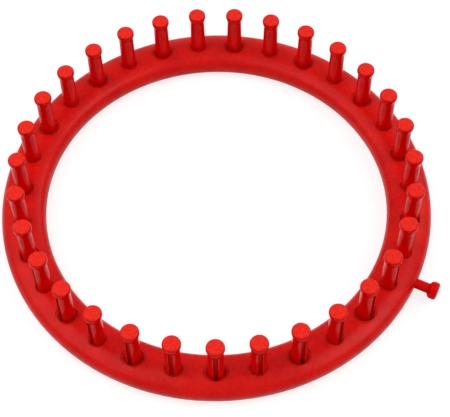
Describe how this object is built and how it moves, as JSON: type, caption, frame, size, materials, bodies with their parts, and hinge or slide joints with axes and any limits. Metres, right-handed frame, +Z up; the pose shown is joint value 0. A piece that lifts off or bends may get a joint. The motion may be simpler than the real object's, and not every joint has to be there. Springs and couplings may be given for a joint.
{
  "type": "round knitting loom",
  "caption": "Round knitting loom: a hollow ring with upright grooved pegs and one side peg, for knitting tubes without needles.",
  "frame": {"origin": "centre of the ring's opening, in the plane where its two halves meet", "axes": "+Z up along the ring's axis, +X along the side peg, +Y completes a right-handed frame"},
  "size_m": [0.2525, 0.24, 0.0435],
  "materials": {
    "top_shell": "satin gloss moulded red plastic",
    "bottom_shell": "satin gloss moulded red plastic",
    "pegs": "satin gloss moulded red plastic",
    "side_peg": "satin gloss moulded red plastic"
  },
  "bodies": {
    "root": {"top_shell": "top_shell", "bottom_shell": "bottom_shell", "peg_01": "pegs", "peg_02": "pegs", "peg_03": "pegs", "peg_04": "pegs", "peg_05": "pegs", "peg_06": "pegs", "peg_07": "pegs", "peg_08": "pegs", "peg_09": "pegs", "peg_10": "pegs", "peg_11": "pegs", "peg_12": "pegs", "peg_13": "pegs", "peg_14": "pegs", "peg_15": "pegs", "peg_16": "pegs", "peg_17": "pegs", "peg_18": "pegs", "peg_19": "pegs", "peg_20": "pegs", "peg_21": "pegs", "peg_22": "pegs", "peg_23": "pegs", "peg_24": "pegs", "peg_25": "pegs", "peg_26": "pegs", "peg_27": "pegs", "peg_28": "pegs", "peg_29": "pegs", "peg_30": "pegs", "peg_31": "pegs", "side_peg": "side_peg"}
  },
  "joints": []
}
